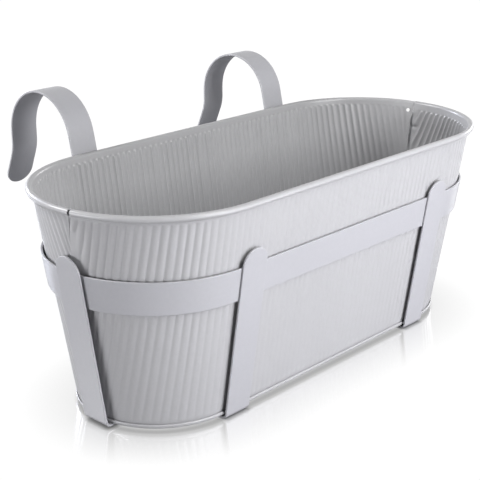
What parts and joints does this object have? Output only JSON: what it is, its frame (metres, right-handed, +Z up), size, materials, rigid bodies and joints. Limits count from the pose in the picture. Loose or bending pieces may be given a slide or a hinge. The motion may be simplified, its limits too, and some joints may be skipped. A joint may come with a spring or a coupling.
{
  "type": "balcony planter",
  "caption": "Oval fluted sheet-metal planter tub standing in a flat-strap holder with hooks that hang over a railing; the tub lifts out.",
  "frame": {"origin": "on the ground, under the middle of the tub", "axes": "+X along the planter, +Y towards the railing, +Z up"},
  "size_m": [0.4046, 0.2608, 0.2008],
  "materials": {
    "tub_paint": "satin light grey paint",
    "holder_paint": "satin light grey paint",
    "wire_steel": "black annealed wire",
    "weld_steel": "bare weld"
  },
  "bodies": {
    "holder": {"holder_band": "holder_paint", "hook_strap_left": "holder_paint", "hook_strap_right": "holder_paint", "end_strap": "holder_paint", "spot_welds": "weld_steel"},
    "tub": {"tub_front_wall": "tub_paint", "tub_rear_wall": "tub_paint", "tub_base_pan": "tub_paint", "rim_wire": "wire_steel"}
  },
  "joints": [
    {"name": "tub_lift", "type": "slide", "parent": "holder", "child": "tub", "axis": [0, 0, 1], "range_m": [0, 0.2]}
  ]
}
